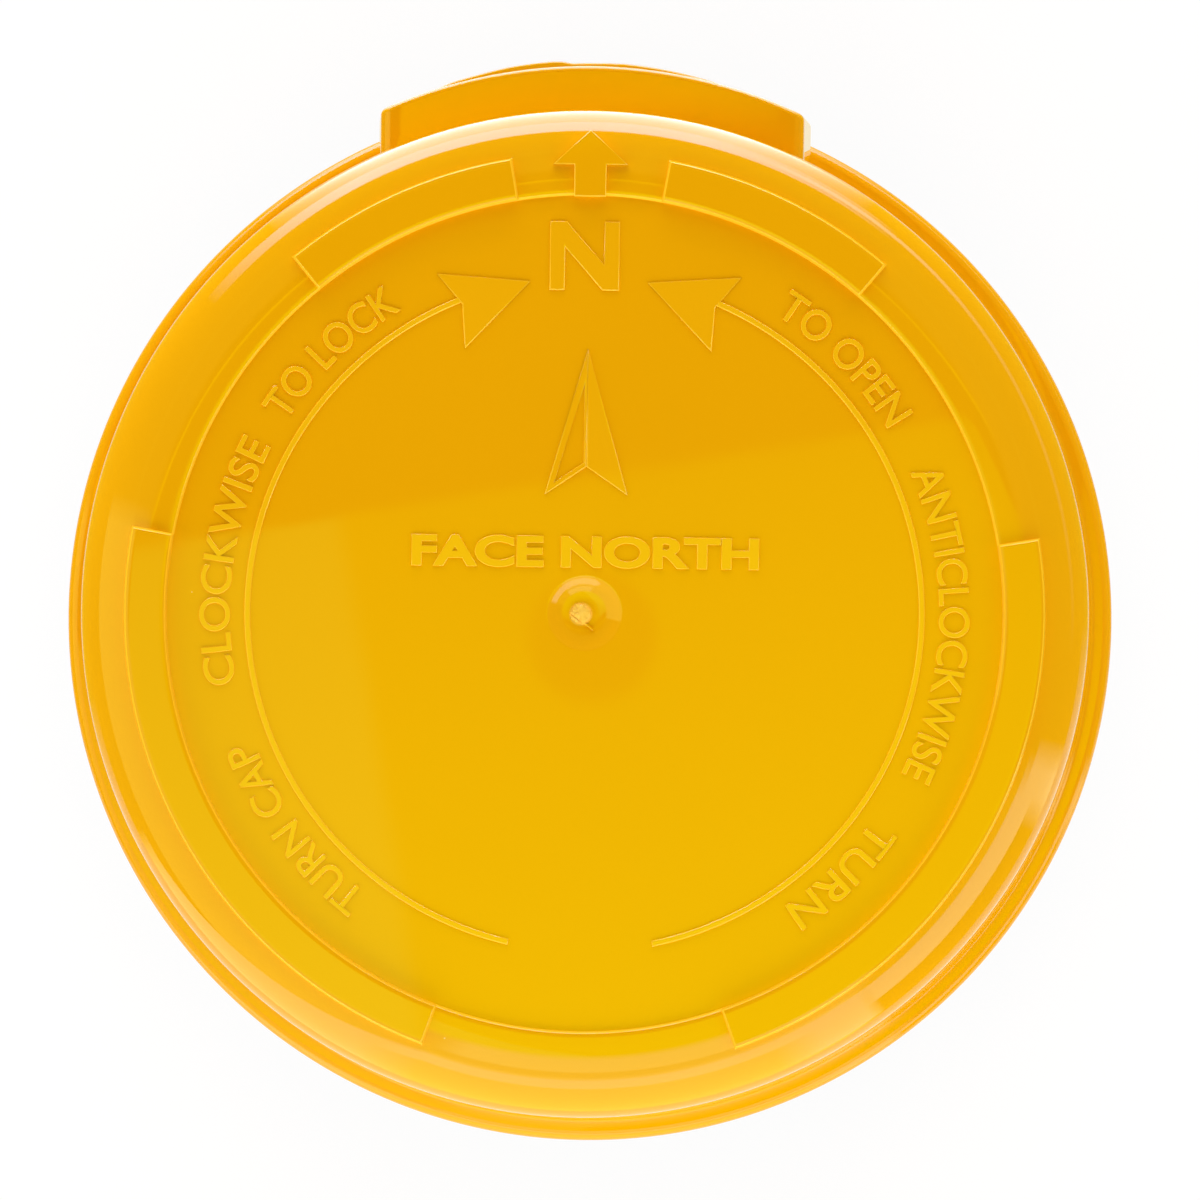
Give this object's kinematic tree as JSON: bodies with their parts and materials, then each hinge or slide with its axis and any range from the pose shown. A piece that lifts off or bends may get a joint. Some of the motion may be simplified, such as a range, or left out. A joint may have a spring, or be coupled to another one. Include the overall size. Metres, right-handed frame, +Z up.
{
  "type": "photocell switch",
  "caption": "Turn-lock photocell switch: glossy yellow moulded cover with a north-facing window, foam seat gasket and brass twist-lock blades that switch a lamp at dusk.",
  "frame": {"origin": "centre of the gasket's underside, where the turning axis meets the seat plane", "axes": "Z up along the turning axis from the seat to the cover's top, +Y north through the window, +X to the right when seen from above with north up"},
  "size_m": [0.084, 0.0862, 0.067],
  "materials": {
    "cover_plastic": "glossy moulded",
    "lens_plastic": "clear polished",
    "base_plastic": "satin moulded",
    "gasket_foam": "closed-cell foam",
    "blade_brass": "stamped",
    "lead_black": "insulation",
    "lead_red": "insulation",
    "lead_white": "insulation",
    "board_laminate": "paper laminate",
    "plated_steel": "zinc or tin plated",
    "relay_case": "moulded",
    "film_case": "potted box",
    "can_sleeve": "shrink sleeve",
    "arrester_coat": "dipped resin",
    "resistor_coat": "lacquer",
    "dropper_coat": "cement coat",
    "diode_case": "moulded",
    "zener_glass": "glass bead",
    "cell_body": "coated ceramic"
  },
  "bodies": {
    "root": {"cover": "cover_plastic", "window_lens": "lens_plastic", "base": "base_plastic", "gasket": "gasket_foam", "line_blade": "blade_brass", "load_blade": "blade_brass", "neutral_blade": "blade_brass", "blade_rivets": "blade_brass", "line_lead": "lead_black", "load_lead": "lead_red", "neutral_lead": "lead_white", "circuit_board": "board_laminate", "board_screws": "plated_steel", "relay": "relay_case", "film_capacitor": "film_case", "filter_capacitor": "can_sleeve", "surge_arrester": "arrester_coat", "dropper_resistor": "dropper_coat", "rectifier_diodes": "diode_case", "zener_diode": "zener_glass", "bias_resistors": "resistor_coat", "transistor": "diode_case", "photocell": "cell_body", "photocell_leads": "plated_steel"}
  },
  "joints": []
}
